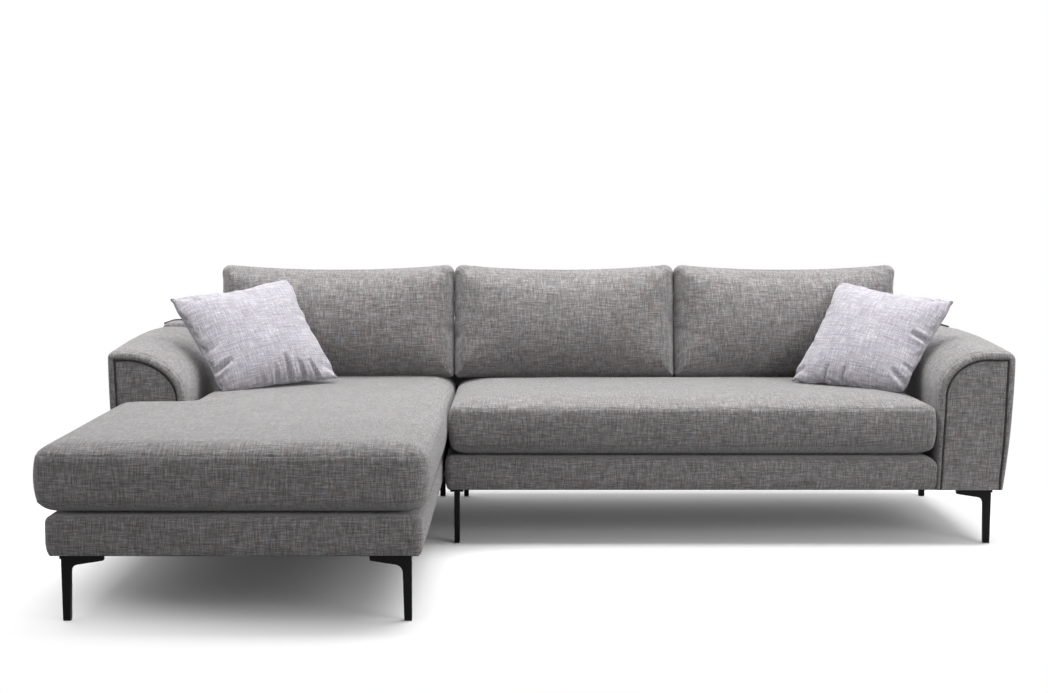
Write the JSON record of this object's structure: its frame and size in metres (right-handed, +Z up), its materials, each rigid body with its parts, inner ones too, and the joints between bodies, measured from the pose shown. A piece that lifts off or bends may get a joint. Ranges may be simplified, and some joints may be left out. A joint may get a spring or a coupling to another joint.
{
  "type": "corner sofa",
  "caption": "Fabric corner sofa with a chaise on the left: crowned seat cushions, loose back and scatter cushions, piped arm fronts and slim black steel legs.",
  "frame": {"origin": "on the floor, under the middle of the sofa's bounding box", "axes": "+X along the sofa's length, from the chaise towards the straight end; +Y to the rear; +Z up"},
  "size_m": [2.8, 1.734, 0.8554],
  "materials": {
    "grey_tweed": "matte",
    "grey_piping": "matte",
    "pale_weave": "matte",
    "dust_cloth": "matte",
    "timber": "matte",
    "black_steel": "satin",
    "spring_steel": "satin",
    "connector_steel": "satin",
    "glide_plastic": "matte"
  },
  "bodies": {
    "sofa_frame": {"main_base_frame": "timber", "chaise_base_frame": "timber", "main_back_frame": "timber", "chaise_back_frame": "timber", "left_arm_frame": "timber", "right_arm_frame": "timber", "main_spring_1": "spring_steel", "main_spring_2": "spring_steel", "main_spring_3": "spring_steel", "main_spring_4": "spring_steel", "main_spring_5": "spring_steel", "main_spring_6": "spring_steel", "chaise_spring_1": "spring_steel", "chaise_spring_2": "spring_steel", "chaise_spring_3": "spring_steel", "chaise_spring_4": "spring_steel", "chaise_spring_5": "spring_steel", "main_base_cover": "grey_tweed", "chaise_base_cover": "grey_tweed", "left_arm_cover": "grey_tweed", "right_arm_cover": "grey_tweed", "left_arm_front_panel": "grey_tweed", "right_arm_front_panel": "grey_tweed", "main_back_cover": "grey_tweed", "chaise_back_cover": "grey_tweed", "left_arm_piping": "grey_piping", "right_arm_piping": "grey_piping", "main_back_piping": "grey_piping", "chaise_back_piping": "grey_piping", "main_dust_cover": "dust_cloth", "chaise_dust_cover": "dust_cloth", "chaise_front_left_leg": "black_steel", "chaise_front_left_glide": "glide_plastic", "chaise_front_right_leg": "black_steel", "chaise_front_right_glide": "glide_plastic", "chaise_rear_left_leg": "black_steel", "chaise_rear_left_glide": "glide_plastic", "chaise_rear_right_leg": "black_steel", "chaise_rear_right_glide": "glide_plastic", "main_front_left_leg": "black_steel", "main_front_left_glide": "glide_plastic", "main_front_right_leg": "black_steel", "main_front_right_glide": "glide_plastic", "main_rear_left_leg": "black_steel", "main_rear_left_glide": "glide_plastic", "main_rear_right_leg": "black_steel", "main_rear_right_glide": "glide_plastic", "front_connector_hook": "connector_steel", "front_connector_socket": "connector_steel", "rear_connector_hook": "connector_steel", "rear_connector_socket": "connector_steel"},
    "chaise_seat_cushion": {"chaise_seat_cushion": "grey_tweed"},
    "bench_seat_cushion": {"bench_seat_cushion": "grey_tweed"},
    "left_back_cushion": {"left_back_cushion": "grey_tweed"},
    "middle_back_cushion": {"middle_back_cushion": "grey_tweed"},
    "right_back_cushion": {"right_back_cushion": "grey_tweed"},
    "left_scatter_cushion": {"left_scatter_cushion": "pale_weave"},
    "right_scatter_cushion": {"right_scatter_cushion": "pale_weave"}
  },
  "joints": [
    {"name": "left_back_cushion_lift", "type": "slide", "parent": "sofa_frame", "child": "left_back_cushion", "axis": [0, 0.1564, 0.9877], "range_m": [0, 0.28]},
    {"name": "middle_back_cushion_lift", "type": "slide", "parent": "sofa_frame", "child": "middle_back_cushion", "axis": [0, 0.1564, 0.9877], "range_m": [0, 0.28]},
    {"name": "right_back_cushion_lift", "type": "slide", "parent": "sofa_frame", "child": "right_back_cushion", "axis": [0, 0.1564, 0.9877], "range_m": [0, 0.28]},
    {"name": "chaise_seat_cushion_pull", "type": "slide", "parent": "sofa_frame", "child": "chaise_seat_cushion", "axis": [0, -1, 0], "range_m": [0, 0.18]},
    {"name": "bench_seat_cushion_pull", "type": "slide", "parent": "sofa_frame", "child": "bench_seat_cushion", "axis": [0, -1, 0], "range_m": [0, 0.18]},
    {"name": "left_scatter_cushion_lift", "type": "slide", "parent": "chaise_seat_cushion", "child": "left_scatter_cushion", "axis": [0, -0.5, 0.866], "range_m": [0, 0.3]},
    {"name": "right_scatter_cushion_lift", "type": "slide", "parent": "bench_seat_cushion", "child": "right_scatter_cushion", "axis": [0, -0.5, 0.866], "range_m": [0, 0.3]}
  ]
}
